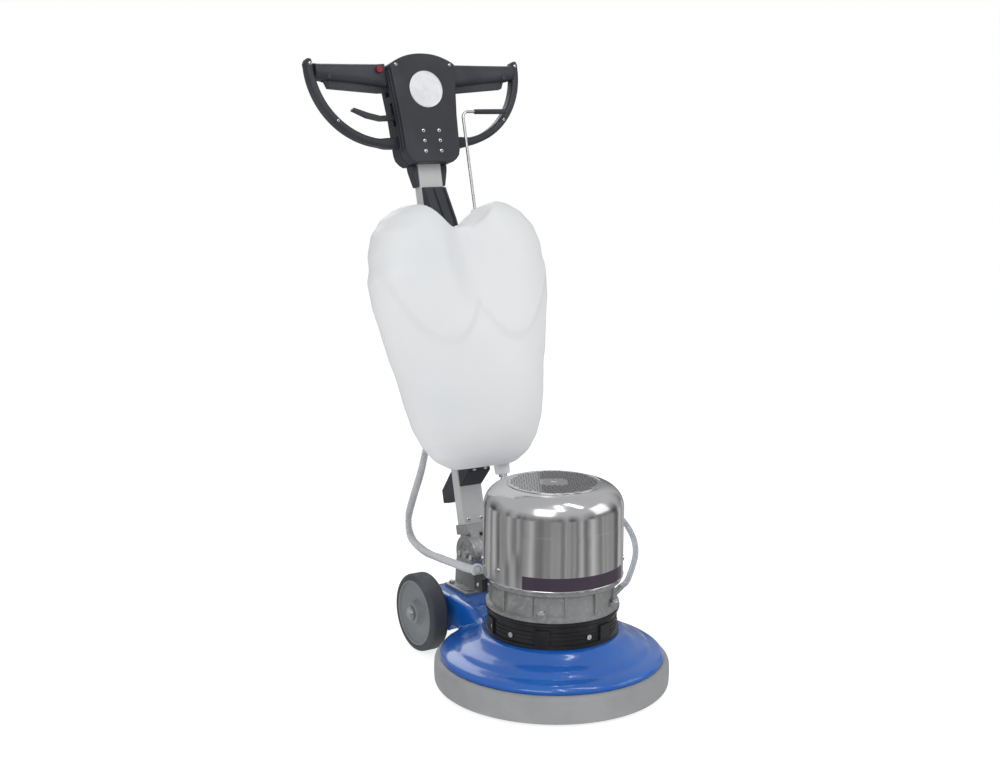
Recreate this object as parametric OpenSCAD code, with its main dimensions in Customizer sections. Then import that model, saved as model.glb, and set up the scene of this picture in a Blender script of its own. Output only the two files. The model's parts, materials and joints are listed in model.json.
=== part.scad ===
// Single-disc wet floor scrubber with a solution tank on a leaning handle.
// Origin: brush axis at floor level. +Z up, +Y towards the operator, +X to the operator's left.

/* [Deck] */
// Radius of the deck rim
deck_r = 214.5; // [205:0.5:220]
// Outer radius of the bumper ring
bumper_r = 225; // [222:0.5:235]
// Height of the deck rim above the floor
rim_z = 58; // [55:1:62]
// Radius of the scrubbing pad
pad_r = 203; // [190:1:203]
// Half width of the rear saddle
saddle_x = 90; // [80:1:92]

/* [Motor] */
// Radius of the motor cowl
cowl_r = 133; // [130:1:140]
// Height of the cowl's lower edge
cowl_z = 221; // [219:1:223]
// Height of the cowl's flat top
cowl_top = 396; // [394:1:410]
// Radius of the vent grille
grille_r = 86.8; // [80:0.2:90]

/* [Gearbox] */
// Gear module
gear_m = 2; // [2:1:2]
// Teeth on the sun gear
sun_teeth = 12; // [12:1:12]
// Teeth on each planet gear
planet_teeth = 42; // [42:1:42]

/* [Wheels] */
// Wheel radius
wheel_r = 79; // [76:0.5:80]
// Distance of the axle behind the brush axis
axle_y = 287; // [285:1:295]
// Outer face of each wheel, from the middle
wheel_out = 145; // [143:1:150]
// Tyre width
tyre_w = 40; // [34:1:40]

/* [Handle] */
// Lean of the handle from upright, in degrees
lean = 14.77; // [14:0.01:16]
// Distance of the tilt pivot behind the brush axis
pivot_y = 266.5; // [266:0.5:267]
// Height of the tilt pivot
pivot_z = 192; // [192:0.5:194]
// Half width of the post
post_x = 27; // [27:0.5:27.5]
// Height of the grips' top along the post
grip_top = 1013; // [1010:1:1015]

/* [Tank] */
// Widest half width of the tank
tank_half = 202; // [190:1:206]
// Depth of the tank in front of the post
tank_depth = 142; // [120:1:145]
// Wall of the tank
tank_wall = 4; // [3.5:0.1:4.5]

/* [Hidden] */
$fn = 64;

axle_z = wheel_r;
wheel_in = wheel_out - tyre_w;
skirt_r = deck_r - 4.5;
skirt_wall = 4;
fit_gap = 0.05;              // radial clearance of running fits
sun_r = gear_m * sun_teeth / 2;
planet_r = gear_m * planet_teeth / 2;
ring_teeth = sun_teeth + 2 * planet_teeth;
ring_r = gear_m * ring_teeth / 2;
orbit_r = sun_r + planet_r;
gear_z = 121;
gear_h = 26;
shaft_r = 10;
flange_top = cowl_z + 4;
ring_screws = [-162, -90, -36, 18, 78, 138, 170];
cheek_in = 26;               // inner face of the pedestal cheeks
cheek_out = 35;
cheek_r = 37;
post_front = 4.6;
post_back = 32;
post_low = 58;
post_high = 880;
head_front_y = -20.6;
head_rear_y = 40;
head_split = 9;
head_wall = 3;
grip_y = 18;                 // middle of the grips behind the pivot plane
trigger_pin = [205, 985];    // across and up the post
button_at = [-93, 0, 999];   // safety button in the right grip
lever_pin = [22, 0, 901];    // pivot of the tilt lever
rod_x = 88;
rod_y = -7;
outlet = [34, -72];          // tank outlet, across and behind
neck = [-95, 8, 655];         // root of the filler neck, across, behind and up the post
neck_tilt = 50;              // how far the neck leans back from the post
neck_h = 32;                 // length of the neck outside the tank
neck_root = 20;              // how deep the neck starts inside the tank

// Routes of the flexible lines, in millimetres, chosen by hand
conduit_route = [[-8, 375, 473.5], [-9, 387, 470], [-16, 400, 455], [-33, 405, 426],
    [-50, 401, 389], [-58, 411, 335], [-63, 436, 274], [-67, 449, 228], [-72, 428, 191],
    [-80, 356, 181], [-92, 266, 191], [-106, 171, 205], [-120, 110, 217], [-128, 78, 225],
    [-130, 61, 229]];
hose_route = [[34, 231.8, 343.0], [34, 228.5, 331], [46, 217, 317], [70, 196, 311], [102, 164, 309],
    [132, 118, 310], [150, 60, 312], [152, 10, 311], [148, -32, 300], [149, -56, 276],
    [145, -67, 250], [135, -69, 222], [126, -67, 200], [117.8, -62.6, 190.8]];

// ---------- helpers ----------
module on_post() {
    translate([0, pivot_y, pivot_z]) rotate([-lean, 0, 0]) children();
}
module both() {
    for (s = [-1, 1]) scale([s, 1, 1]) children();
}
// A bar along X from x0 to x1, with its section drawn as [y, z]
module along_x(x0, x1) {
    translate([x0, 0, 0]) rotate([90, 0, 90]) linear_extrude(x1 - x0) children();
}
// A plate normal to Y from y0 to y1, with its outline drawn as [x, z]
module along_y(y0, y1) {
    translate([0, y1, 0]) rotate([90, 0, 0]) linear_extrude(y1 - y0) children();
}
module pin_x(x0, x1, r) {
    translate([x0, 0, 0]) rotate([0, 90, 0]) cylinder(h = x1 - x0, r = r);
}
module pin_y(y0, y1, r) {
    translate([0, y0, 0]) rotate([-90, 0, 0]) cylinder(h = y1 - y0, r = r);
}
module tube(r_in, r_out, z0, z1) {
    translate([0, 0, z0]) difference() {
        cylinder(h = z1 - z0, r = r_out);
        translate([0, 0, -1]) cylinder(h = z1 - z0 + 2, r = r_in);
    }
}
module round_box(x, y, r) {
    for (sx = [-1, 1], sy = [-1, 1]) translate([sx * (x - r), sy * (y - r)]) circle(r = r);
    square([2 * x, 2 * (y - r)], center = true);
    square([2 * (x - r), 2 * y], center = true);
}
// Straight-sided gear teeth: an outline with one tooth centred on +X
function tooth_points(n, m, inner, out, half_in, half_out) = [for (i = [0 : n - 1])
    let (a = 360 * i / n) each [
        [inner * cos(a - half_in), inner * sin(a - half_in)],
        [out * cos(a - half_out), out * sin(a - half_out)],
        [out * cos(a + half_out), out * sin(a + half_out)],
        [inner * cos(a + half_in), inner * sin(a + half_in)]]];
module gear_2d(n) {
    pitch = 360 / n;
    polygon(tooth_points(n, gear_m, gear_m * (n / 2 - 1.2), gear_m * (n / 2 + 0.9),
        pitch * 0.30, pitch * 0.11));
}
function unit(v) = v / norm(v);
// Smooth point between route points p[i] and p[i + 1]
function smooth(p, i, t) = let (
    a = p[max(i - 1, 0)], b = p[i], c = p[i + 1], d = p[min(i + 2, len(p) - 1)])
    0.5 * (2 * b + t * (c - a) + t * t * (2 * a - 5 * b + 4 * c - d)
        + t * t * t * (3 * b - a - 3 * c + d));
function smooth_route(p, n) = [for (i = [0 : len(p) - 2], k = [0 : n - 1]) smooth(p, i, k / n),
    p[len(p) - 1]];
function heading(p, i) = unit(p[min(i + 1, len(p) - 1)] - p[max(i - 1, 0)]);
module flexible(route, r, sides, n) {
    p = smooth_route(route, n);
    points = [for (i = [0 : len(p) - 1]) let (
        t = heading(p, i),
        u = unit(cross(t, [0.3, 0.1, 0.2])),
        v = cross(t, u)) for (k = [0 : sides - 1])
            p[i] + r * (cos(360 * k / sides) * u + sin(360 * k / sides) * v)];
    last = (len(p) - 1) * sides;
    faces = [[for (k = [0 : sides - 1]) k],
        [for (k = [sides - 1 : -1 : 0]) last + k],
        for (i = [0 : len(p) - 2], k = [0 : sides - 1]) let (j = (k + 1) % sides)
            [i * sides + k, (i + 1) * sides + k, (i + 1) * sides + j, i * sides + j]];
    polyhedron(points, faces);
}

// ---------- deck ----------
module deck_housing() {
    color([0.02, 0.33, 0.72]) difference() {
        union() {
            rotate_extrude($fn = 128) polygon([[0, 16], [skirt_r, 16], [skirt_r, rim_z],
                [deck_r, rim_z], [deck_r, 62], [deck_r - 2.5, 67], [deck_r - 8, 71],
                [196, 75], [188, 77], [182, 82], [176, 86], [160, 93], [148, 101], [140, 108],
                [cowl_r, 112], [128, 112], [128, 110], [0, 110]]);
            along_x(-saddle_x, saddle_x) polygon([[120, 62], [120, 100], [160, 118], [318, 118],
                [328, 115], [334, 107], [336, 96], [336, 62], [330, 50], [318, 42], [242, 42],
                [230, 58.4], [205, 58.4]]);
        }
        rotate_extrude($fn = 128) polygon([[0, 15], [skirt_r - skirt_wall, 15],
            [skirt_r - skirt_wall, 64], [192, 70], [176, 80], [156, 88], [136, 100],
            [50, 102], [50, 90], [0, 90]]);
        translate([0, 0, 80]) cylinder(h = 40, r = 31);
        for (s = [-1, 1]) translate([s * 44 - 38, 240, 30]) cube([76, 90, 76]);
        translate([0, axle_y, axle_z]) pin_x(-100, 100, 10);
    }
}
module bumper_ring() {
    color([0.58, 0.59, 0.60]) rotate_extrude($fn = 128) polygon([[skirt_r + 0.2, 6],
        [skirt_r + 2, 3.5], [bumper_r - 8, 3.5], [bumper_r - 3, 6], [bumper_r, 12],
        [bumper_r, 44], [bumper_r - 2, 52], [bumper_r - 7, 57.6], [skirt_r + 0.2, 57.6]]);
}
module spacer_ring() {
    color([0.07, 0.07, 0.08]) difference() {
        union() {
            rotate_extrude($fn = 128) polygon([[105, 110], [127.4, 110], [127.4, 117],
                [122, 119], [122, 152], [127, 155], [127, 161], [105, 161]]);
            for (k = [0 : 5]) rotate([0, 0, 60 * k - 132])
                translate([112, -14, 112]) cube([14, 28, 34]);
        }
        for (a = ring_screws) rotate([0, 0, a])
            translate([120.5, 0, 129]) rotate([0, 90, 0]) cylinder(h = 9, r = 6);
    }
}
module casing_screws() {
    color([0.85, 0.86, 0.86]) {
        for (a = ring_screws) rotate([0, 0, a])
            translate([120.5, 0, 129]) rotate([0, 90, 0]) cylinder(h = 4, r = 5);
        for (a = [-174, -30, 30, 90, 150]) rotate([0, 0, a])
            translate([cowl_r, 0, 249]) rotate([0, 90, 0]) cylinder(h = 2.5, r = 5);
    }
}
module flange_lugs(r, z, h, size, sides) {
    for (a = [-133, -55, 45, 125]) rotate([0, 0, a]) translate([r, 0, z])
        cylinder(h = h, r = size, $fn = sides);
}
module motor_flange() {
    color([0.66, 0.67, 0.68]) difference() {
        union() {
            rotate_extrude($fn = 128) polygon([[105, 161], [127, 161], [127, 168], [119, 171],
                [117, 206], [124, 211], [131, 214], [131, flange_top], [0, flange_top],
                [0, 204], [40, 204], [46, 213], [108, 213], [111, 206], [112, 171], [105, 168]]);
            for (k = [0 : 11]) rotate([0, 0, 30 * k + 8])
                translate([112, -2, 165]) cube([10, 4, 48]);
            flange_lugs(121, 165, 14, 10, 48);
        }
        translate([0, 0, 200]) cylinder(h = 40, r = 23.5);
    }
}
// Points of the cowl's rounded shoulder, moved in by s
function shoulder(s, from, to, step) = let (r = cowl_r - 88)
    [for (a = [from : step : to]) [88 + (r - s) * cos(a), cowl_top - r + (r - s) * sin(a)]];
module motor_cowl() {
    wall = 1.5;
    color([0.80, 0.81, 0.83]) rotate_extrude($fn = 128) polygon(concat(
        [[cowl_r - wall, cowl_z], [cowl_r, cowl_z]], shoulder(0, 0, 90, 9),
        [[84, cowl_top], [84, cowl_top - wall]], shoulder(wall, 90, 0, -9)));
}
module cowl_grille() {
    color([0.75, 0.76, 0.78]) translate([0, 0, cowl_top]) linear_extrude(1.5) difference() {
        circle(r = grille_r, $fn = 96);
        for (ring = [0 : 4], k = [0 : 11 + 6 * ring]) rotate(360 * k / (12 + 6 * ring))
            translate([35 + 11 * ring, 0]) circle(r = 3.6, $fn = 16);
    }
}
module cowl_label() {
    color([0.70, 0.71, 0.73]) rotate([0, 0, -149]) rotate_extrude(angle = 99, $fn = 128)
        translate([cowl_r, 222]) square([0.6, 103]);
}

// ---------- motor and gearbox ----------
module motor_frame() {
    color([0.45, 0.46, 0.48]) {
        tube(80, 85, flange_top, 358);
        tube(21, 85, 358, 366);
    }
}
module stator() {
    color([0.35, 0.35, 0.37]) tube(47.5, 80, 246, 336);
}
module stator_windings() {
    color([0.72, 0.38, 0.18]) {
        tube(54, 74, 234, 246);
        tube(54, 74, 336, 350);
    }
}
module bearings() {
    color([0.70, 0.71, 0.72]) {
        tube(shaft_r + fit_gap, 23.5, 210, flange_top - 1);
        tube(shaft_r + fit_gap, 21, 356, 368);
        tube(15 + fit_gap, 31, 92, 108);
    }
}
module run_capacitor() {
    color([0.20, 0.22, 0.26]) translate([0, 107, flange_top]) cylinder(h = 90, r = 20);
}
module rotor_core() {
    color([0.55, 0.55, 0.57]) tube(shaft_r, 46.5, 246, 336);
}
module motor_shaft() {
    color([0.75, 0.76, 0.78]) {
        translate([0, 0, 119]) cylinder(h = 50, r = 7);
        translate([0, 0, 169]) cylinder(h = 214, r = shaft_r);
    }
}
module cooling_fan() {
    color([0.12, 0.12, 0.13]) difference() {
        union() {
            translate([0, 0, 372]) cylinder(h = 12, r = 20);
            translate([0, 0, 372]) cylinder(h = 2, r = 76);
            for (k = [0 : 8]) rotate([0, 0, 40 * k]) translate([18, -1.2, 373])
                cube([57, 2.4, 11]);
        }
        translate([0, 0, 370]) cylinder(h = 13, r = shaft_r);
    }
}
module sun_gear() {
    color([0.62, 0.62, 0.64]) translate([0, 0, gear_z]) linear_extrude(gear_h) difference() {
        gear_2d(sun_teeth);
        circle(r = 7);
    }
}
module planet_gear(k) {
    color([0.82, 0.78, 0.62]) rotate([0, 0, 120 * (k - 1)]) translate([orbit_r, 0, gear_z])
        linear_extrude(gear_h) difference() {
            rotate(180 / planet_teeth) gear_2d(planet_teeth);
            circle(r = 6 + fit_gap);
        }
}
module planet_gear_1() { planet_gear(1); }
module planet_gear_2() { planet_gear(2); }
module planet_gear_3() { planet_gear(3); }
module ring_gear() {
    pitch = 360 / ring_teeth;
    color([0.50, 0.50, 0.52]) translate([0, 0, 119]) linear_extrude(30) difference() {
        circle(r = 105, $fn = 128);
        rotate(pitch / 2) polygon(tooth_points(ring_teeth, gear_m, ring_r - 0.9 * gear_m,
            ring_r + 1.2 * gear_m, pitch * 0.39, pitch * 0.20));
    }
}
module planet_carrier() {
    color([0.60, 0.61, 0.63]) {
        translate([0, 0, 112]) cylinder(h = 6, r = 70);
        for (k = [0 : 2]) rotate([0, 0, 120 * k]) translate([orbit_r, 0, 117])
            cylinder(h = 32, r = 6);
        translate([0, 0, 36]) cylinder(h = 77, r = 15);
    }
}
module pad_driver() {
    color([0.16, 0.17, 0.19]) difference() {
        union() {
            translate([0, 0, 20]) cylinder(h = 12, r = pad_r - 4, $fn = 128);
            translate([0, 0, 31]) cylinder(h = 21, r = 48);
        }
        translate([0, 0, 36]) cylinder(h = 20, r = 15);
        for (k = [0 : 7]) rotate([0, 0, 45 * k]) translate([75, -22, 25]) cube([105, 44, 8]);
    }
}
module scrub_pad() {
    color([0.55, 0.10, 0.10]) cylinder(h = 20, r = pad_r, $fn = 128);
}

// ---------- wheels and pedestal ----------
module axle() {
    color([0.72, 0.73, 0.74]) translate([0, axle_y, axle_z]) {
        pin_x(-wheel_out - 5, wheel_out + 5, shaft_r);
        both() {
            pin_x(saddle_x, wheel_in - 1, 16);
            pin_x(wheel_out + 4, wheel_out + 8, 14);
        }
    }
}
module wheel_disc() {
    color([0.42, 0.45, 0.47]) translate([0, axle_y, axle_z]) difference() {
        union() {
            difference() {
                pin_x(wheel_in + 2, wheel_out - 2, 67);
                pin_x(wheel_out - 12, wheel_out + 10, 62);
                pin_x(wheel_in - 10, wheel_in + 12, 62);
            }
            pin_x(wheel_in, wheel_out + 3, 22);
        }
        pin_x(wheel_in - 10, wheel_out + 10, shaft_r + fit_gap);
    }
}
module tyre() {
    color([0.27, 0.28, 0.31]) translate([0, axle_y, axle_z]) rotate([0, 90, 0])
        rotate_extrude($fn = 128) polygon([[67, wheel_in + 2], [wheel_r - 5, wheel_in],
            [wheel_r - 1, wheel_in + 3], [wheel_r, wheel_in + 8], [wheel_r, wheel_out - 8],
            [wheel_r - 1, wheel_out - 3], [wheel_r - 5, wheel_out], [67, wheel_out - 2]]);
}
module left_wheel() { wheel_disc(); }
module left_tyre() { tyre(); }
module right_wheel() { mirror([1, 0, 0]) wheel_disc(); }
module right_tyre() { mirror([1, 0, 0]) tyre(); }
module base_plate() {
    color([0.70, 0.71, 0.72]) difference() {
        translate([-60, 222, 118]) cube([120, 86, 6]);
        for (sx = [-48, 48], sy = [232, 298]) translate([sx, sy, 110]) cylinder(h = 20, r = 4);
    }
}
module pedestal() {
    color([0.62, 0.63, 0.65]) difference() {
        union() {
            both() {
                along_x(cheek_in, cheek_out) polygon([[226, 124], [308, 124], [306, 150],
                    [302, 180], [231, 180], [228, 150]]);
                translate([0, pivot_y, pivot_z]) pin_x(cheek_in, cheek_out, cheek_r);
            }
            translate([-cheek_in - 1, 226, 124]) cube([2 * cheek_in + 2, 82, 8]);
            translate([-5, pivot_y - 16, 124]) cube([10, 32, 60]);
            translate([0, pivot_y, pivot_z]) pin_x(-5, 5, 34);
        }
        translate([0, pivot_y, pivot_z]) pin_x(-50, 50, 8);
    }
}
module pivot_pin() {
    color([0.75, 0.76, 0.78]) translate([0, pivot_y, pivot_z]) {
        pin_x(-cheek_out, cheek_out, 8);
        both() pin_x(cheek_out, cheek_out + 4, 9.5);
    }
}
module hex_bolts() {
    color([0.80, 0.81, 0.82]) {
        flange_lugs(125.5, 179, 6, 6, 6);
        both() for (p = [[240, 191], [284, 190], [265, 160]])
            translate([0, p[0], p[1]]) pin_x(cheek_out, cheek_out + 5, 6.5, $fn = 6);
        for (sx = [-48, 48], sy = [232, 298]) translate([sx, sy, 124])
            cylinder(h = 5, r = 6.5, $fn = 6);
    }
}

// ---------- lines ----------
module terminal_box() {
    color([0.12, 0.12, 0.13]) difference() {
        union() {
            translate([-143, 24, 217]) cube([26, 34.4, 26]);
            translate([-141, 26, 196]) cube([23, 30, 22]);
        }
        translate([0, 0, 190]) cylinder(h = 60, r = cowl_r + 0.1, $fn = 128);
    }
}
module hose_barb() {
    color([0.75, 0.76, 0.78]) rotate([0, 0, -28]) difference() {
        translate([112, 0, 169.5]) rotate([0, 45, 0]) cylinder(h = 29.5, r = 6);
        translate([0, 0, 160]) cylinder(h = 50, r = 119.2, $fn = 128);
        translate([0, 0, 150]) cylinder(h = 21.1, r = 128, $fn = 128);
    }
}
module conduit() {
    color([0.60, 0.62, 0.64]) flexible(conduit_route, 8, 10, 4);
}
module water_hose() {
    color([0.75, 0.85, 0.92]) flexible(hose_route, 5.5, 10, 4);
}

// ---------- handle ----------
module handle_fork() {
    color([0.62, 0.63, 0.65]) on_post() difference() {
        union() {
            both() {
                pin_x(5.6, cheek_in - 0.5, 33);
                translate([5.6, -16, 0]) cube([cheek_in - 6.1, 44, 44]);
            }
            translate([-30, -10, 38.5]) cube([60, 44, post_low - 38.5]);
            translate([-post_x + 3, post_front + 3, post_low - 1])
                cube([2 * post_x - 6, 21.4, 50]);
        }
        pin_x(-40, 40, 8 + fit_gap);
        translate([0, 12, 30]) cylinder(h = 90, r = 5.4);
    }
}
module post() {
    color([0.86, 0.87, 0.87]) on_post() translate([0, (post_front + post_back) / 2, post_low])
        linear_extrude(post_high - post_low) difference() {
            round_box(post_x, (post_back - post_front) / 2, 4);
            round_box(post_x - 2, (post_back - post_front) / 2 - 2, 2);
        }
}
// Half outline of the head, from the bottom up, as [x, u]; shrink moves it inwards
function head_side(s) = [[44 - s, 802 + s], [62 - s, 820 + s], [66 - s, 900], [74 - s, 985],
    [76 - s, 1002 - s], [70 - s, 1013 - s], [48 - s, 1023 - s], [25, 1029 - s]];
function head_outline(s) = let (h = head_side(s)) concat(h,
    [for (i = [len(h) - 1 : -1 : 0]) [-h[i][0], h[i][1]]]);
module head_shape(s) { polygon(head_outline(s)); }
module head_openings() {
    // the post, the sleeves, the tilt lever and the triggers come in here
    translate([-post_x - 0.3, post_front - 0.3, 790]) cube([2 * post_x + 0.6, 28, 40]);
    translate([-90, 1.5, 889]) cube([40, 15, 36]);
    both() translate([55, 10.5, 949]) cube([30, 15, 38]);
}
module head_front() {
    color([0.12, 0.12, 0.13]) on_post() difference() {
        union() {
            along_y(head_front_y + 5, head_split) head_shape(0);
            along_y(head_front_y, head_front_y + 6) head_shape(4);
        }
        along_y(head_front_y + head_wall, head_split + 1) head_shape(4 + head_wall);
        head_openings();
    }
}
module head_rear() {
    color([0.12, 0.12, 0.13]) on_post() difference() {
        union() {
            along_y(head_split, head_rear_y - 6) head_shape(0);
            along_y(head_rear_y - 7, head_rear_y) head_shape(5);
        }
        along_y(head_split - 1, head_rear_y - head_wall) head_shape(5 + head_wall);
        head_openings();
    }
}
module head_sleeves() {
    color([0.10, 0.10, 0.11]) on_post() both() difference() {
        along_y(8, 28) polygon([[28, 812], [44, 812], [42, 790], [34, 758], [28, 758]]);
        translate([0, 0, 802]) translate([26, 0, 0]) cube([30, 40, 20]);
    }
}
// The bow: a quarter ring from the horn at the grip's end down to the head
module bow_solid() {
    mid_r = 157;
    translate([84, grip_y, 1007]) rotate([90, 0, 0]) rotate_extrude(angle = -90, $fn = 96)
        translate([mid_r, 0]) round_box(8, 13, 4);
    translate([60, grip_y - 13, 842]) cube([24.5, 26, 16]);
    translate([84 + mid_r, 0, 1006.8]) along_y(grip_y - 13, grip_y + 13)
        polygon([[-8, 0], [8, 0], [5, 10], [-2, 15], [-8, 13]]);
}
module bow_side() {
    color([0.12, 0.12, 0.13]) on_post() difference() {
        bow_solid();
        along_y(-60, 100) polygon([[0, 780], [62.7, 780], [62.7, 822], [66.3, 900], [0, 900]]);
        translate([200, -40, 966]) cube([33, 100, 80]);
    }
}
module left_bow() { bow_side(); }
module right_bow() { scale([-1, 1, 1]) bow_side(); }
module grip_solid() {
    along_y(0, 36) polygon([[77.5, 966], [77.5, grip_top], [232, grip_top],
        [232, 984], [222, 980]]);
}
module grip_slots() {
    translate([70, 11, 940]) cube([146, 14, 50]);
    translate([trigger_pin[0], 0, trigger_pin[1]]) pin_y(-5, 45, 3);
}
module left_grip() {
    color([0.12, 0.12, 0.13]) on_post() difference() {
        grip_solid();
        grip_slots();
    }
}
module right_grip() {
    color([0.12, 0.12, 0.13]) on_post() difference() {
        scale([-1, 1, 1]) grip_solid();
        scale([-1, 1, 1]) grip_slots();
        translate(button_at) pin_y(-5, 22, 7.2);
    }
}
module badge_disc() {
    color([0.85, 0.86, 0.87]) on_post() translate([0, 0, 954]) pin_y(head_front_y - 1.6,
        head_front_y, 38, $fn = 96);
}
module handle_screws() {
    color([0.82, 0.83, 0.84]) on_post() translate(lever_pin)
        pin_y(head_front_y + head_wall, head_rear_y - head_wall, 4);
    color([0.82, 0.83, 0.84]) on_post() both() {
        for (u = [825.5, 847, 868]) translate([18.3, 0, u])
            pin_y(head_front_y - 1.5, head_front_y, 4);
        translate([63, 0, 1007]) pin_y(head_front_y - 1.5, head_front_y, 3.5);
        translate([240, 0, 1010]) pin_y(grip_y - 14.5, grip_y - 13, 3.5);
        translate([195, 0, 896]) pin_y(grip_y - 14.5, grip_y - 13, 3);
        translate([trigger_pin[0], 0, trigger_pin[1]]) {
            pin_y(0, 36, 3);
            pin_y(-1.5, 0, 4.5);
        }
        translate([15, 0, 68]) pin_y(post_front - 2.5, post_front, 4.5);
    }
}
module main_switch() {
    color([0.18, 0.18, 0.20]) on_post() {
        translate([-38, -8, 992]) cube([76, 32, 18]);
        translate([-20, -8, 930]) cube([40, 24, 50]);
    }
}
module tank_bracket() {
    color([0.10, 0.10, 0.11]) on_post() {
        along_x(-26, 26) polygon([[post_front, 665], [-6, 666], [-34, 668], [-30, 682], [-3, 752],
            [post_front, 756]]);
        along_x(-26, 26) polygon([[post_front, 136], [0, 138], [-40, 164], [-40, 171.5],
            [post_front, 171.5]]);
    }
}
module lock_housing() {
    color([0.10, 0.10, 0.11]) on_post() along_x(-26, 26)
        polygon([[post_back, 107], [post_back, 168], [36, 168], [83, 132], [83, 104], [60, 104]]);
}
module lock_rod() {
    color([0.75, 0.76, 0.78]) on_post() {
        translate([0, 12, 34.5]) cylinder(h = 24, r = 4.9);
        translate([0, 12, 58]) cylinder(h = 826, r = 3);
        translate([-6, 9, 882]) cube([12, 6, 11]);
    }
}

// ---------- tank ----------
// Half width of the tank at height u along the post, smooth between a few stations
tank_stations = [[172, 76], [200, 106], [230, 127], [270, 144], [320, 156], [360, 163],
    [410, 177], [460, 187], [510, 198], [560, 202], [588, 194], [612, 194], [650, 183],
    [680, 160], [700, 130], [706, 112]];
function station(u, i) = (i >= len(tank_stations) - 2 || u < tank_stations[i + 1][0])
    ? i : station(u, i + 1);
function half_width(u) = let (i = station(u, 0), a = tank_stations[i], b = tank_stations[i + 1],
    t = (u - a[0]) / (b[0] - a[0]), s = t * t * (3 - 2 * t) * 0.4 + t * 0.6)
    (a[1] + (b[1] - a[1]) * s) * tank_half / 202;
tank_low = 172;
tank_high = 706;
tank_mid = -58;              // middle of the tank's section, in front of the pivot plane
half_depth = tank_depth + tank_mid;
tank_power = 0.87;           // 1 is an ellipse, less is squarer
tank_step_u = 323;           // below this the tank is only as deep as the post's front
channel_x = post_x + 6;
channel_y = -3;
// How much of the full depth the section has at height u: less at the foot and the crown
function fullness(u) = let (
    foot = min(1, (u - tank_low) / 90), crown = min(1, (tank_high - u) / 110))
    (0.72 + 0.28 * sin(90 * foot)) * (0.5 + 0.5 * sqrt(1 - (1 - crown) ^ 2));
// One ring of the tank: a rounded section with a channel for the post in its back
function tank_ring(u, s) = let (
    v = min(tank_high, u + 3 * s * max(0, u - 600) / 106),
    w = half_width(v) - s, d = half_depth * fullness(v) - s,
    c = channel_x + s, cy = channel_y - s, edge = asin(((c + 6) / w) ^ (1 / tank_power)),
    rows = 26)
    [for (k = [0 : rows]) let (a = 90 - edge - (360 - 2 * edge) * k / rows)
        [w * sign(sin(90 - a)) * abs(sin(90 - a)) ^ tank_power,
            tank_mid + d * sign(sin(a)) * abs(sin(a)) ^ tank_power, u],
    [-c, tank_mid + d - 8, u], [-c, min(cy, tank_mid + d - 9), u],
    [c, min(cy, tank_mid + d - 9), u], [c, tank_mid + d - 8, u]];
module tank_loft(u0, u1, s, step) {
    us = [u0, each [for (u = [u0 + step / 2 : step : u1 - step / 3]) u], u1];
    rings = [for (u = us) tank_ring(u, s)];
    n = len(rings[0]);
    last = (len(us) - 1) * n;
    points = [for (r = rings) each r];
    faces = [[for (k = [n - 1 : -1 : 0]) k], [for (k = [0 : n - 1]) last + k],
        for (i = [0 : len(us) - 2], k = [0 : n - 1]) let (j = (k + 1) % n)
            each [[i * n + k, i * n + j, (i + 1) * n + j],
                [i * n + k, (i + 1) * n + j, (i + 1) * n + k]]];
    polyhedron(points, faces);
}
// What is cut away behind the foot and between the two top lobes, grown by s
dip_half = 102;
function dip_height(x) = let (t = min(1, max(0, (abs(x) - 18) / (dip_half - 18))))
    657 + 54 * t * t * (3 - 2 * t);
module tank_cuts(s) {
    along_y(-250, 80) polygon([each [for (k = [-10 : 10]) let (x = dip_half * k / 10)
        [x * (1 + s / 200), dip_height(x) - 1.3 * s]], [dip_half + 60, 800],
        [-dip_half - 60, 800]]);
    translate([-250, 3 - s, 100]) cube([500, 100, tank_step_u + s - 100]);
}
module on_neck() {
    translate(neck) rotate([-neck_tilt, 0, 0]) children();
}
module tank() {
    color([0.93, 0.95, 0.97, 0.6]) on_post() resize([0, 0, 0]) difference() {
        union() {
            difference() {
                tank_loft(tank_low, tank_high, 0, 25);
                tank_cuts(0);
            }
            on_neck() translate([0, 0, -neck_root]) cylinder(h = neck_root + neck_h, r = 22, $fn = 40);
        }
        difference() {
            tank_loft(tank_low + tank_wall, tank_high - tank_wall, tank_wall, 25);
            tank_cuts(tank_wall);
        }
        on_neck() translate([0, 0, -neck_root - 6]) cylinder(h = 70, r = 18, $fn = 40);
        translate([rod_x, rod_y, 640]) cylinder(h = 90, r = 3.6, $fn = 24);
        translate([outlet[0], outlet[1], 160]) cylinder(h = 20, r = 8, $fn = 32);
    }
}
module tank_cap() {
    color([0.10, 0.10, 0.11]) on_post() on_neck() difference() {
        translate([0, 0, neck_h - 8]) cylinder(h = 14, r = 27);
        translate([0, 0, neck_h - 12]) cylinder(h = 12.4, r = 22.5);
    }
}
module drain_valve() {
    color([0.12, 0.12, 0.13]) on_post() translate([outlet[0], outlet[1], 0]) difference() {
        union() {
            translate([0, 0, 150]) cylinder(h = tank_low - 150, r = 15);
            translate([0, 0, 138]) cylinder(h = 14, r = 6);
        }
        translate([0, 0, 156]) cylinder(h = 30, r = 8);
    }
}
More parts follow.
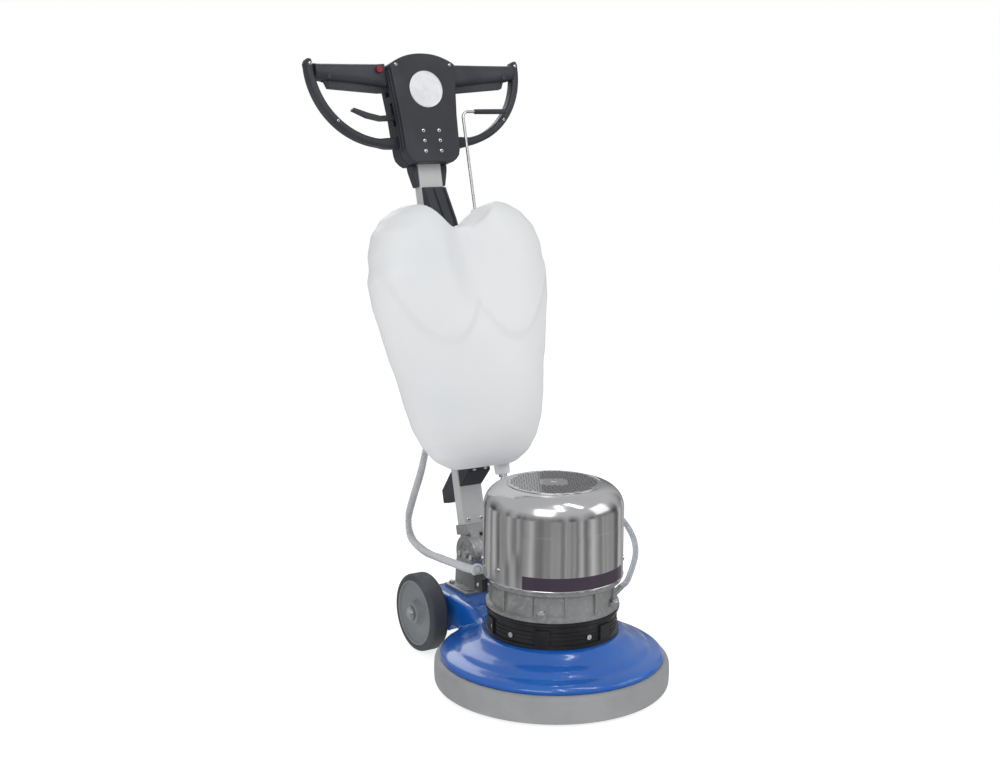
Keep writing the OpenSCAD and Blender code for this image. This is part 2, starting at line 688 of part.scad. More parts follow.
module water_rod() {
    seat = tank_low + tank_wall + 0.6;
    color([0.78, 0.79, 0.80]) on_post() {
        translate([rod_x, rod_y, 300]) cylinder(h = 598, r = 3);
        hull() for (p = [[rod_x, rod_y, 300], [outlet[0], outlet[1], 210]])
            translate(p) sphere(r = 3, $fn = 16);
        translate([outlet[0], outlet[1], seat + 6]) cylinder(h = 210 - seat - 6, r = 3);
        translate([outlet[0], outlet[1], seat]) cylinder(h = 7, r = 12);
        translate([rod_x, rod_y, 898]) rotate([90, 0, 0])
            translate([12, 0, 0]) rotate([0, 0, 90]) rotate_extrude(angle = 90)
                translate([12, 0]) circle(r = 3, $fn = 24);
        translate([0, rod_y, 910]) pin_x(rod_x + 12, 192, 3);
    }
    color([0.10, 0.10, 0.11]) on_post() translate([0, rod_y, 910]) difference() {
        pin_x(118, 194, 5);
        pin_x(117, 192, 3);
    }
}

// ---------- controls ----------
module trigger_blade() {
    difference() {
        along_y(12, 24) polygon([[60, 956], [60, 968], [88, 971], [198, 979], [198, 989],
            [211, 989], [211, 980], [204, 964], [92, 955]]);
        translate([trigger_pin[0], 0, trigger_pin[1]]) pin_y(0, 40, 3 + fit_gap);
    }
}
module left_trigger() {
    color([0.14, 0.14, 0.15]) on_post() trigger_blade();
}
module right_trigger() {
    color([0.14, 0.14, 0.15]) on_post() scale([-1, 1, 1]) trigger_blade();
}
module tilt_lever() {
    color([0.12, 0.12, 0.13]) on_post() difference() {
        along_y(3, 15) polygon([[28, 895], [28, 907], [-70, 907], [-100, 905], [-125, 911],
            [-158, 922], [-162, 917], [-130, 902], [-100, 895], [-70, 896]]);
        translate(lever_pin) pin_y(0, 20, 4 + fit_gap);
    }
}
module safety_button() {
    color([0.80, 0.08, 0.06]) on_post() translate(button_at) pin_y(-6, 14, 6.7);
}

deck_housing();
bumper_ring();
spacer_ring();
motor_flange();
motor_cowl();
cowl_grille();
cowl_label();
casing_screws();
hex_bolts();
motor_frame();
stator();
stator_windings();
bearings();
run_capacitor();
ring_gear();
base_plate();
pedestal();
pivot_pin();
axle();
terminal_box();
hose_barb();
conduit();
water_hose();
rotor_core();
motor_shaft();
cooling_fan();
sun_gear();
planet_carrier();
pad_driver();
scrub_pad();
planet_gear_1();
planet_gear_2();
planet_gear_3();
left_wheel();
left_tyre();
right_wheel();
right_tyre();
handle_fork();
post();
head_front();
head_rear();
left_bow();
right_bow();
left_grip();
right_grip();
head_sleeves();
badge_disc();
handle_screws();
main_switch();
tank_bracket();
lock_housing();
tank();
drain_valve();
tank_cap();
left_trigger();
right_trigger();
tilt_lever();
lock_rod();
safety_button();
water_rod();
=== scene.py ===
"""Looks of a single-disc floor scrubber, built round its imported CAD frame.

Shapes are written in millimetres and MM turns them into metres. ROOT is the row frame. POST is the
handle's own frame: x across, y behind the tilt pivot, z up the leaning post."""
import json
import math

import bmesh
import bpy
from mathutils import Matrix, Vector


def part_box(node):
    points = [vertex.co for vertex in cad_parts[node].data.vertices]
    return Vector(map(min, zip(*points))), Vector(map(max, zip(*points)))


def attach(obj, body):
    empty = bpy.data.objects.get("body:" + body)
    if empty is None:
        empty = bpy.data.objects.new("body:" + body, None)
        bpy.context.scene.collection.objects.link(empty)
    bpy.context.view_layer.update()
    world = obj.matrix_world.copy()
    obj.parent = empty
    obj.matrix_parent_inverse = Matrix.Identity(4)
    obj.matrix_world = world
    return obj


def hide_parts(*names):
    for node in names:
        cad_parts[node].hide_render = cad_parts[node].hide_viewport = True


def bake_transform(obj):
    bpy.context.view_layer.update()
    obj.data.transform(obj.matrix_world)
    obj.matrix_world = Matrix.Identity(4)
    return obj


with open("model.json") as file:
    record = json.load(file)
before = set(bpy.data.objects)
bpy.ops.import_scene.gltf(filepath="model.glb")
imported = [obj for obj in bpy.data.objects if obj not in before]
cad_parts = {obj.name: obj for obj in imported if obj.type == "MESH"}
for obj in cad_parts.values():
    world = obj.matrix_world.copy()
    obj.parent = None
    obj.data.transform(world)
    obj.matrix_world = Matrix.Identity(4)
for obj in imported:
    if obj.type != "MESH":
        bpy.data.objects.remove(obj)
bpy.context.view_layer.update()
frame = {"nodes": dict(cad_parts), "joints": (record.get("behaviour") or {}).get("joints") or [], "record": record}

MM = 0.001
JOINTS = {j["name"]: j for j in frame["joints"]}
PIVOT = Vector(JOINTS["handle_tilt"]["pos_m"])
POST_UP = Vector(JOINTS["lock_rod_slide"]["axis"])
LEAN = math.atan2(POST_UP.y, POST_UP.z)
ROOT = Matrix.Identity(4)
POST = Matrix.Translation(PIVOT) @ Matrix.Rotation(-LEAN, 4, "X")
WHEEL_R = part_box("left_tyre")[1].z * 500
COWL_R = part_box("motor_cowl")[1].x * 1000
COWL_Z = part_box("motor_cowl")[0].z * 1000
COWL_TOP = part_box("motor_cowl")[1].z * 1000
GRILLE_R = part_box("cowl_grille")[1].x * 1000
HEAD_FRONT = -20.6
GRIP_Y = 18


# ---------- materials ----------
class Finish:
    """A procedural material: one Principled shader and the noise that varies it."""

    def __init__(self, name, color, rough, metal=0.0, **sockets):
        self.mat = bpy.data.materials.new(name)
        self.mat.use_nodes = True
        self.tree = self.mat.node_tree
        self.shader = self.tree.nodes["Principled BSDF"]
        self.color = color
        self.set("Base Color", (*color, 1))
        self.set("Roughness", rough)
        self.set("Metallic", metal)
        for key, value in sockets.items():
            self.set(key.replace("_", " "), value)
        self.at = self.node("ShaderNodeTexCoord").outputs["Object"]

    def set(self, socket, value):
        self.shader.inputs[socket].default_value = value

    def node(self, kind):
        return self.tree.nodes.new(kind)

    def link(self, a, b):
        self.tree.links.new(a, b)

    def noise(self, scale, detail=4.0, stretch=(1, 1, 1)):
        place = self.node("ShaderNodeMapping")
        place.inputs["Scale"].default_value = stretch
        self.link(self.at, place.inputs["Vector"])
        tex = self.node("ShaderNodeTexNoise")
        tex.inputs["Scale"].default_value = scale
        tex.inputs["Detail"].default_value = detail
        self.link(place.outputs["Vector"], tex.inputs["Vector"])
        return tex.outputs["Fac"]

    def cells(self, scale):
        tex = self.node("ShaderNodeTexVoronoi")
        tex.inputs["Scale"].default_value = scale
        self.link(self.at, tex.inputs["Vector"])
        return tex.outputs["Distance"]

    def spread(self, fac, low, high, start=0.3, end=0.7):
        """fac stretched from start..end to low..high."""
        span = self.node("ShaderNodeMapRange")
        for key, value in (("From Min", start), ("From Max", end), ("To Min", low), ("To Max", high)):
            span.inputs[key].default_value = value
        self.link(fac, span.inputs["Value"])
        return span.outputs["Result"]

    def mottle(self, fac, other, start=0.3, end=0.7):
        """Base colour drifts towards another colour where fac is high."""
        mix = self.node("ShaderNodeMix")
        mix.data_type = "RGBA"
        self.link(self.spread(fac, 0, 1, start, end), mix.inputs["Factor"])
        colours = [s for s in mix.inputs if s.type == "RGBA"]
        old = self.shader.inputs["Base Color"]
        if old.is_linked:
            self.link(old.links[0].from_socket, colours[0])
        else:
            colours[0].default_value = (*self.color, 1)
        colours[1].default_value = (*other, 1)
        self.link([s for s in mix.outputs if s.type == "RGBA"][0], old)
        return self

    def roughen(self, fac, low, high, start=0.3, end=0.7):
        self.link(self.spread(fac, low, high, start, end), self.shader.inputs["Roughness"])
        return self

    def bump(self, height, distance, strength=1.0):
        """Adds relief, on top of any relief there already is."""
        relief = self.node("ShaderNodeBump")
        relief.inputs["Distance"].default_value = distance
        relief.inputs["Strength"].default_value = strength
        self.link(height, relief.inputs["Height"])
        old = self.shader.inputs["Normal"]
        if old.is_linked:
            self.link(old.links[0].from_socket, relief.inputs["Normal"])
        self.link(relief.outputs["Normal"], old)
        return self


def shade(color, k):
    return tuple(min(1.0, c * k) for c in color)


def moulded(name, color, rough, grain=0.00018, dust=1.6):
    """Fine-grained moulded plastic with a little dust and handling shine."""
    f = Finish(name, color, rough, Specular_IOR_Level=0.45)
    f.mottle(f.noise(9), shade(color, dust), 0.45, 0.8)
    f.roughen(f.noise(30), rough - 0.07, rough + 0.1)
    return f.bump(f.noise(900, 2), grain, 0.6)


def steel(name, color, rough, stretch=(1, 1, 1), scratch=0.00004):
    f = Finish(name, color, rough, 1.0)
    f.mottle(f.noise(6), shade(color, 0.82), 0.4, 0.8)
    f.roughen(f.noise(60, 3, stretch), rough * 0.7, rough * 1.4)
    return f.bump(f.noise(400, 2, stretch), scratch, 0.5)


def cast(name, color):
    """Raw sand-cast aluminium: dull, pitted and unevenly bright."""
    f = Finish(name, color, 0.45, 0.85)
    f.mottle(f.noise(14), shade(color, 0.72), 0.35, 0.75).mottle(f.noise(120), shade(color, 1.25), 0.5, 0.8)
    f.roughen(f.noise(40), 0.36, 0.6)
    return f.bump(f.noise(260, 5), 0.0006, 0.6).bump(f.cells(700), 0.0002, 0.4)


def make_materials():
    for old in list(bpy.data.materials):
        bpy.data.materials.remove(old)
    blue = Finish("deck_paint", (0.003, 0.10, 0.45), 0.16, Coat_Weight=0.7, Coat_Roughness=0.05)
    blue.mottle(blue.noise(5), (0.004, 0.13, 0.53), 0.4, 0.7).roughen(blue.noise(25), 0.12, 0.26)
    blue.bump(blue.noise(35, 2), 0.0012, 0.35).bump(blue.noise(260, 2), 0.0002, 0.3)

    rubber = Finish("bumper_rubber", (0.34, 0.345, 0.35), 0.55, Specular_IOR_Level=0.35)
    rubber.mottle(rubber.noise(11), (0.27, 0.275, 0.28), 0.4, 0.8).bump(rubber.noise(500, 3), 0.0003, 0.5)

    black = Finish("black_casting", (0.012, 0.012, 0.014), 0.3, Specular_IOR_Level=0.5)
    black.mottle(black.noise(20), (0.03, 0.03, 0.032), 0.45, 0.8).roughen(black.noise(50), 0.24, 0.42)
    black.bump(black.noise(350, 4), 0.0004, 0.6)

    polished = Finish("stainless", (0.70, 0.695, 0.70), 0.13, 1.0)
    polished.mottle(polished.noise(5), (0.60, 0.60, 0.61), 0.4, 0.8)
    polished.roughen(polished.noise(16, 4, (1, 1, 0.15)), 0.09, 0.2)
    polished.bump(polished.noise(11, 2), 0.0035, 0.25)
    polished.bump(polished.noise(600, 2, (1, 1, 0.05)), 0.00003, 0.4)

    silver = Finish("label_silver", (0.80, 0.81, 0.83), 0.32, 0.35)
    silver.mottle(silver.noise(70), (0.70, 0.71, 0.74), 0.4, 0.8).bump(silver.noise(900, 2), 0.00004, 0.4)

    copper = Finish("copper_winding", (0.60, 0.24, 0.08), 0.35, 0.9)
    copper.mottle(copper.noise(90, 2, (1, 1, 8)), (0.35, 0.12, 0.04))
    copper.bump(copper.noise(60, 1, (1, 1, 14)), 0.001, 0.7)

    clear = Finish("clear_hose", (0.88, 0.92, 0.97), 0.12, Transmission_Weight=0.75, IOR=1.38)
    clear.mottle(clear.noise(60), (0.80, 0.86, 0.94)).roughen(clear.noise(80), 0.08, 0.2)

    fibre = Finish("scrub_fibre", (0.30, 0.03, 0.03), 0.95)
    fibre.mottle(fibre.noise(450, 3), (0.10, 0.01, 0.01)).bump(fibre.noise(350, 6), 0.003, 0.9)

    tank = Finish("tank_plastic", (0.80, 0.81, 0.815), 0.36, Subsurface_Weight=0.35,
                  Subsurface_Scale=0.03, Subsurface_Radius=(1, 1, 1), Specular_IOR_Level=0.4)
    tank.mottle(tank.noise(4, 2), (0.75, 0.765, 0.78), 0.4, 0.75).roughen(tank.noise(18), 0.3, 0.46)
    tank.bump(tank.noise(40, 3), 0.0006, 0.35).bump(tank.noise(700, 2), 0.00006, 0.3)

    tread = Finish("tyre", (0.060, 0.063, 0.075), 0.62, Specular_IOR_Level=0.35)
    tread.mottle(tread.noise(16), (0.10, 0.105, 0.115), 0.4, 0.8).roughen(tread.noise(60), 0.52, 0.72)
    tread.bump(tread.noise(300, 4), 0.0004, 0.5)

    post = Finish("post_paint", (0.56, 0.57, 0.565), 0.4, 0.1, Specular_IOR_Level=0.45)
    post.mottle(post.noise(12), (0.50, 0.51, 0.51), 0.4, 0.8).roughen(post.noise(40), 0.34, 0.48)
    post.bump(post.noise(1200, 2), 0.00006, 0.4)

    conduit = moulded("conduit_grey", (0.56, 0.57, 0.58), 0.5, dust=1.15)
    wheel = moulded("wheel_grey", (0.20, 0.215, 0.225), 0.42, dust=1.25)
    lacquer = moulded("red_plastic", (0.20, 0.008, 0.02), 0.3, 0.00005)
    made = {f.mat.name: f.mat for f in (
        blue, rubber, black, polished, silver, copper, clear, fibre, tank, tread, post, conduit, wheel,
        lacquer, cast("cast_aluminium", (0.50, 0.505, 0.50)),
        steel("zinc_fasteners", (0.78, 0.79, 0.80), 0.22),
        steel("machined_steel", (0.62, 0.63, 0.64), 0.3, scratch=0.00001),
        moulded("inner_plastic", (0.05, 0.055, 0.06), 0.5), moulded("gear_nylon", (0.72, 0.66, 0.46), 0.45),
        moulded("black_plastic", (0.026, 0.027, 0.034), 0.44, 0.0003, 1.8),
        # a painted dark reflection band for the cowl, and near-black painted shade for seams, recesses and behind
        # the grille
        moulded("painted_reflection_band", (0.045, 0.030, 0.050), 0.3, 0.00003, 1.2),
        # painted shade: near-black for the seam, the screw sockets and behind the grille
        moulded("painted_shade_black", (0.004, 0.004, 0.005), 0.7))}
    return made


MATERIALS = make_materials()


# ---------- mesh tools ----------
def add_object(name, mesh):
    o = bpy.data.objects.new(name, mesh)
    bpy.context.scene.collection.objects.link(o)
    return o


def solid(name, verts, faces, place=ROOT):
    """A mesh from points in millimetres, placed in metres, with its faces turned outwards."""
    mesh = bpy.data.meshes.new(name)
    mesh.from_pydata([place @ (Vector(v) * MM) for v in verts], [], faces)
    bm = bmesh.new()
    bm.from_mesh(mesh)
    bmesh.ops.remove_doubles(bm, verts=bm.verts, dist=1e-6)
    bmesh.ops.recalc_face_normals(bm, faces=bm.faces)
    bm.to_mesh(mesh)
    bm.free()
    return add_object(name, mesh)


def smooth(o, angle=35):
    for p in o.data.polygons:
        p.use_smooth = True
    o.data.set_sharp_from_angle(angle=math.radians(angle))
    return o


def bevel(o, width, segments=3, angle=38):
    m = o.modifiers.new("bevel", "BEVEL")
    m.width, m.segments = width * MM, segments
    m.limit_method, m.angle_limit = "ANGLE", math.radians(angle)
    m.harden_normals = True
    m.use_clamp_overlap = True
    return o


def bake(o):
    """Applies every modifier of o to its mesh."""
    bpy.context.view_layer.update()
    mesh = bpy.data.meshes.new_from_object(o.evaluated_get(bpy.context.evaluated_depsgraph_get()))
    o.modifiers.clear()
    o.data = mesh
    return o


def cut(o, tool, operation="DIFFERENCE"):
    m = o.modifiers.new("cut", "BOOLEAN")
    m.operation, m.object, m.solver = operation, tool, "EXACT"
    bake(o)
    bpy.data.objects.remove(tool)
    return o


def piece(o, body, slot, replaces=(), material=None):
    """o becomes part of the object: its finish, the body it rides on and the CAD nodes it stands for."""
    o.data.materials.clear()
    o.data.materials.append(MATERIALS[material or slot])
    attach(o, body)
    if replaces:
        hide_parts(*replaces)
    return o


def lathe(name, profile, place=ROOT, n=160):
    """A closed profile of (radius, height) turned about the local z axis."""
    verts, faces, k = [], [], len(profile)
    for i in range(n):
        a = 2 * math.pi * i / n
        verts += [(r * math.cos(a), r * math.sin(a), z) for r, z in profile]
    for i in range(n):
        j = (i + 1) % n
        faces += [(i * k + p, j * k + p, j * k + (p + 1) % k, i * k + (p + 1) % k) for p in range(k)]
    return smooth(solid(name, verts, faces, place))


def arc(cx, cy, r, start, end, n=8):
    return [(cx + r * math.cos(math.radians(start + (end - start) * i / n)),
             cy + r * math.sin(math.radians(start + (end - start) * i / n))) for i in range(n + 1)]


def loft(name, rings, place=ROOT, angle=35):
    """A closed skin through rings of equal length, with flat ends."""
    k = len(rings[0])
    verts = [p for ring in rings for p in ring]
    faces = [tuple(range(k)), tuple(range((len(rings) - 1) * k, len(rings) * k))]
    for i in range(len(rings) - 1):
        faces += [(i * k + p, i * k + (p + 1) % k, (i + 1) * k + (p + 1) % k, (i + 1) * k + p)
                  for p in range(k)]
    return smooth(solid(name, verts, faces, place), angle)


def prism(name, outline, y0, y1, place=ROOT):
    """An outline of (x, z) run along y."""
    return loft(name, [[(x, y, z) for x, z in outline] for y in (y0, y1)], place)


def block(name, low, high, place=ROOT):
    (x0, y0, z0), (x1, y1, z1) = low, high
    return prism(name, [(x0, z0), (x1, z0), (x1, z1), (x0, z1)], y0, y1, place)


def rod(name, start, end, r, place=ROOT, n=32):
    return sweep(name, [start, end], lambda s: circle(r, n), place)


def circle(r, n):
    return [(r * math.cos(2 * math.pi * k / n), r * math.sin(2 * math.pi * k / n)) for k in range(n)]


def rounded(half_x, half_y, r, n=6):
    """A rectangle with rounded corners, as points."""
    out = []
    for cx, cy, a in ((1, 1, 0), (-1, 1, 90), (-1, -1, 180), (1, -1, 270)):
        out += arc(cx * (half_x - r), cy * (half_y - r), r, a, a + 90, n)
    return out


def smooth_route(points, n):
    """A curve through the route's points, n steps to a stretch."""
    p, out = [Vector(q) for q in points], []
    for i in range(len(p) - 1):
        a, b, c, d = p[max(i - 1, 0)], p[i], p[i + 1], p[min(i + 2, len(p) - 1)]
        for k in range(n):
            t = k / n
            out.append(0.5 * (2 * b + t * (c - a) + t * t * (2 * a - 5 * b + 4 * c - d)
                              + t ** 3 * (3 * b - a - 3 * c + d)))
    return out + [p[-1]]


def sweep(name, path, section, place=ROOT, across=Vector((0.3, 0.1, 0.2)), angle=35):
    """A section, given by how far along the path it is in millimetres, carried along the path."""
    path, rings, run = [Vector(p) for p in path], [], 0.0
    side = None
    for i, p in enumerate(path):
        heading = (path[min(i + 1, len(path) - 1)] - path[max(i - 1, 0)]).normalized()
        if side is None:
            side = heading.cross(across).normalized()
        side = (side - heading * side.dot(heading)).normalized()
        up = heading.cross(side)
        if i:
            run += (p - path[i - 1]).length
        rings.append([tuple(p + side * x + up * y) for x, y in section(run)])
    return loft(name, rings, place, angle)


# ---------- CAD nodes that stay ----------
ROUND_EDGES = {  # node: bevel width in millimetres
    "spacer_ring": 0.8, "motor_flange": 1.2, "base_plate": 0.8, "pedestal": 1.6, "handle_fork": 1.5,
    "post": 0.6, "head_sleeves": 2.5, "tank_bracket": 2.0, "lock_housing": 3.0, "left_trigger": 3.5,
    "right_trigger": 3.5, "tilt_lever": 3.5, "tank_cap": 2.0, "hex_bolts": 0.7, "casing_screws": 0.8,
    "pivot_pin": 1.0, "axle": 1.0, "safety_button": 1.5, "hose_barb": 0.6, "pad_driver": 1.0,
    "main_switch": 1.0}
OTHER_FINISH = {"cowl_label": "stainless"}


def dress_nodes():
    """Every CAD node gets its material, and those that show get rounded edges."""
    for sub in frame["record"]["subparts"]:
        o = frame["nodes"][sub["node"]]
        o.data.materials.clear()
        o.data.materials.append(MATERIALS[OTHER_FINISH.get(sub["node"], sub["material_slot"])])
        if o.data.attributes.get("custom_normal"):
            o.data.attributes.remove(o.data.attributes["custom_normal"])
        for p in o.data.polygons:
            p.use_smooth = True
        if sub["node"] in ROUND_EDGES:
            o.modifiers.new("weld", "WELD").merge_threshold = 0.00001
            bevel(o, ROUND_EDGES[sub["node"]])
        else:
            o.data.set_sharp_from_angle(angle=math.radians(30))


# ---------- deck and motor ----------
def deck():
    """The painted housing: the dome runs into the rear saddle in one soft surface."""
    o = add_object("deck_shell", frame["nodes"]["deck_housing"].data.copy())
    m = o.modifiers.new("remesh", "REMESH")
    m.mode, m.voxel_size = "VOXEL", 0.0022
    bake(o)
    bm = bmesh.new()
    bm.from_mesh(o.data)

    def soften(verts, rounds):
        for _ in range(rounds):
            bmesh.ops.smooth_vert(bm, verts=verts, factor=0.5, use_axis_x=True, use_axis_y=True,
                                  use_axis_z=True)

    def thin(v):
        return 0.203 < math.hypot(v.co.x, v.co.y) < 0.217 and v.co.z < 0.066

    soften([v for v in bm.verts if thin(v)], 2)
    soften([v for v in bm.verts if not thin(v)], 14)
    blend = [v for v in bm.verts if 0.060 < abs(v.co.x) < 0.125 and 0.09 < v.co.y < 0.245
             and 0.064 < v.co.z < 0.125]
    soften(blend, 70)
    bm.to_mesh(o.data)
    bm.free()
    smooth(o, 60)
    piece(o, "root", "deck_paint", ["deck_housing"])


def bumper():
    inner, outer = 209.8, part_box("bumper_ring")[1].x * 1000
    profile = [(inner, 6), (inner + 3, 3.5)] + arc(outer - 12, 15.5, 12, -90, 0, 8)
    profile += [(outer + 0.6, 30)] + arc(outer - 11, 46.6, 11, 0, 90, 8) + [(inner, 57.6)]
    piece(lathe("bumper", profile, n=192), "root", "bumper_rubber", ["bumper_ring"])


def cowl():
    """Spun cowl with a rolled rim, and a lip round the grille."""
    wall, shoulder = 1.5, 45
    centre = COWL_R - shoulder
    profile = [(COWL_R - wall, COWL_Z), (COWL_R - 0.2, COWL_Z - 0.8), (COWL_R + 1.2, COWL_Z + 0.6),
               (COWL_R + 1.4, COWL_Z + 3), (COWL_R + 0.2, COWL_Z + 5)]
    profile += arc(centre, COWL_TOP - shoulder, shoulder, 0, 90, 18)
    profile += [(84, COWL_TOP), (84, COWL_TOP - wall)]
    profile += arc(centre, COWL_TOP - shoulder, shoulder - wall, 90, 0, 18)
    piece(lathe("cowl_shell", profile, n=192), "root", "stainless", ["motor_cowl"])
    piece(lathe("grille_lip", [(84, COWL_TOP)] + arc(88.4, COWL_TOP + 0.4, 1.6, 180, 0, 6) +
                [(90, COWL_TOP)]), "root", "stainless")


def grille():
    """Perforated disc: round holes on a square grid, with a plain disc in the middle."""
    pitch, hole, plain, edge = 6.6, 2.55, 25, 3.5
    sheet_low, sheet_high = COWL_TOP, COWL_TOP + 1.5
    o = lathe("grille_sheet", [(0, sheet_low), (GRILLE_R, sheet_low), (GRILLE_R, sheet_high),
                               (0, sheet_high)], n=128)
    verts, faces, sides, reach = [], [], 8, int(GRILLE_R / pitch) + 1
    for i in range(-reach, reach + 1):
        for j in range(-reach, reach + 1):
            x, y = i * pitch, j * pitch
            if not plain + hole < math.hypot(x, y) < GRILLE_R - edge - hole:
                continue
            base = len(verts)
            for z in (sheet_low - 2, sheet_high + 2):
                verts += [(x + dx, y + dy, z) for dx, dy in circle(hole, sides)]
            faces += [tuple(base + k for k in range(sides)), tuple(base + sides + k for k in range(sides))]
            faces += [(base + k, base + (k + 1) % sides, base + sides + (k + 1) % sides, base + sides + k)
                      for k in range(sides)]
    spin = Matrix.Rotation(math.radians(14), 4, "Z")
    cut(o, solid("holes", verts, faces, spin))
    piece(smooth(o, 30), "root", "stainless", ["cowl_grille"])
    hub = [(0, sheet_high), (6, sheet_high), (6, sheet_high + 1), (4.5, sheet_high + 1.8),
           (0, sheet_high + 1.8)]
    piece(lathe("grille_screw", hub, n=48), "root", "zinc_fasteners")
    # painted shade: a near-black disc behind the grille's holes stands for the dark inside the cowl
    shade_disc_profile = [(0, sheet_low - 4), (83.5, sheet_low - 4), (83.5, sheet_low - 3), (0, sheet_low - 3)]
    piece(lathe("grille_shade_disc", shade_disc_profile, n=96), "root", "inner_plastic", material="painted_shade_black")


def on_cowl(name, start, end, low, high, lift, material, steps=60):
    """A thin strip on the cowl between two front angles, its edges given as heights by angle."""
    rings = []
    for i in range(steps + 1):
        front = start + (end - start) * i / steps
        a = math.radians(front - 90)
        ring = []
        for r, z in ((COWL_R + 0.1, low(front)), (COWL_R + lift, low(front)),
                     (COWL_R + lift, high(front)), (COWL_R + 0.1, high(front))):
            ring.append((r * math.cos(a), r * math.sin(a), z))
        rings.append(ring)
    piece(loft(name, rings), "root", "label_silver", material=material)


def ease(t):
    t = min(1.0, max(0.0, t))
    return t * t * (3 - 2 * t)


def paint_reflection_band():
    """A straight dark band on the polished cowl: a painted dark reflection, with nothing written or drawn on it.
    """
    start, end = -58.5, 39.5
    # painted reflection: a dark strip stands in for the room's dark reflection in the cowl
    on_cowl("painted_reflection_band", start, end, lambda a: 222.4, lambda a: 250, 0.9, "painted_reflection_band")


def casing_details():
    """Ribs between the spacer's pads, washers under the flange bolts and a near-black ring of painted shade in the
    spacer's seam.
    """
    for k, z in enumerate((126, 133.5, 141)):
        piece(lathe(f"spacer_rib_{k + 1}", [(121.5, z - 1), (123.6, z - 0.7), (123.6, z + 0.7),
                                            (121.5, z + 1)]), "root", "black_casting")
    # painted shade: a near-black ring stands for the shade in the seam under the flange
    piece(lathe("spacer_seam_shade", [(126.5, 160.2), (128.2, 160.4), (128.2, 161.6), (126.5, 161.8)]),
          "root", "black_casting", material="painted_shade_black")
    for k, a in enumerate((-133, -55, 45, 125)):
        at = Matrix.Rotation(math.radians(a), 4, "Z") @ Matrix.Translation((0.1255, 0, 0))
        piece(lathe(f"flange_washer_{k + 1}", [(0, 179), (8, 179), (8, 180.4), (0, 180.4)], at, 40),
              "root", "zinc_fasteners")


def terminal():
    """The conduit's gland on the cowl, and the small black terminal cover under the cowl's edge."""
    end, before = Vector(CONDUIT[-1]) * MM, Vector(CONDUIT[-2]) * MM
    turn = Matrix.Translation(end) @ (end - before).to_track_quat("Z", "Y").to_matrix().to_4x4()
    nut = [(8.4, -12), (9.6, -12), (10.4, -9), (10.4, -5), (12.2, -4), (12.2, 3), (8.4, 3)]
    piece(lathe("conduit_gland", nut, turn, 48), "root", "conduit_grey")
    cover = block("terminal_cover", (-141, 26, 196), (-118, 56, 222))
    cut(cover, rod("cowl_room", (0, 0, 180), (0, 0, 260), 131.2, ROOT, 160))
    piece(bevel(smooth(cover, 30), 2.5), "root", "black_casting", ["terminal_box"])
    face = Matrix.Translation((-0.141, 0.040, 0.208)) @ Matrix.Rotation(-math.pi / 2, 4, "Y")
    piece(lathe("terminal_screw", [(0, -1), (3.8, -1), (3.8, 0.8), (2.6, 1.8), (0, 1.8)], face, 40), "root",
          "zinc_fasteners")


def mounts_details():
    """Washers on the pedestal's side discs."""
    for s, side in ((1, "left"), (-1, "right")):
        turn = Matrix.Translation(PIVOT) @ Matrix.Rotation(s * math.pi / 2, 4, "Y")
        ring = [(22, 35), (22, 36.2), (31, 36.2), (31, 35)]
        piece(lathe(f"pedestal_ring_{side}", ring, turn, 96), "root", "cast_aluminium")


# ---------- wheels ----------
def wheels():
    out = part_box("left_tyre")[1].x * 1000
    width = (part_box("left_tyre")[1].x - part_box("left_tyre")[0].x) * 1000
    low = out - width
    axle = Vector(JOINTS["left_wheel_spin"]["pos_m"])
    tyre = [(67, low + 2)] + arc(WHEEL_R - 9, low + 9, 9, 250, 360, 8)
    tyre += [(WHEEL_R, out - 11)] + arc(WHEEL_R - 9, out - 9, 9, 0, 110, 8) + [(67, out - 2)]
    bore = 10.1
    disc = [(bore, low), (22, low), (22, low + 12), (60, low + 12), (62, low + 2), (67, low + 2),
            (67, out - 2), (65, out - 0.6), (62.5, out - 1), (61, out - 6), (54, out - 11),
            (40, out - 12), (26, out - 11), (22, out - 6), (21, out + 1.5), (19, out + 3), (bore, out + 3)]
    for s, side in ((1, "left"), (-1, "right")):
        turn = Matrix.Translation((0, axle.y, axle.z)) @ Matrix.Rotation(s * math.pi / 2, 4, "Y")
        piece(lathe(f"{side}_tyre_ring", tyre, turn, 128), f"{side}_wheel", "tyre", [f"{side}_tyre"])
        piece(lathe(f"{side}_wheel_disc", disc, turn, 128), f"{side}_wheel", "wheel_grey",
              [f"{side}_wheel"])
        ends = (out + 3.4, out + 12)
        bolt = loft(f"{side}_axle_nut", [[(x, y, z) for x, y in circle(9, 6)] for z in ends],
                    turn)
        piece(bevel(bolt, 1.2), "root", "zinc_fasteners")


# ---------- lines ----------
CONDUIT = [(-8, 375, 473.5), (-9, 387, 470), (-16, 400, 455), (-33, 405, 426), (-50, 401, 389),
           (-58, 411, 335), (-63, 436, 274), (-67, 449, 228), (-72, 428, 191), (-80, 356, 181),
           (-92, 266, 191), (-106, 171, 205), (-120, 110, 217), (-128, 78, 225), (-130, 61, 229)]
HOSE = [(34, 231.8, 343.0), (34, 228.5, 331), (46, 217, 317), (70, 196, 311), (102, 164, 309),
        (132, 118, 310), (150, 60, 312), (152, 10, 311), (148, -32, 300), (149, -56, 276),
        (145, -67, 250), (135, -69, 222), (126, -67, 200), (117.8, -62.6, 190.8)]


def lines():
    """The corrugated conduit and the clear hose, each running from the handle to the deck."""
    corrugation, radius, depth = 5.0, 6.7, 1.5
    o = sweep("conduit_sleeve", smooth_route(CONDUIT, 56),
              lambda s: circle(radius + depth * math.sin(2 * math.pi * s / corrugation), 18), angle=80)
    o.data.materials.append(MATERIALS["conduit_grey"])
    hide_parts("conduit")
    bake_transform(o)
    o = sweep("hose_tube", smooth_route(HOSE, 10), lambda s: circle(5.5, 24), angle=80)
    o.data.materials.append(MATERIALS["clear_hose"])
    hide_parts("water_hose")
    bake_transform(o)


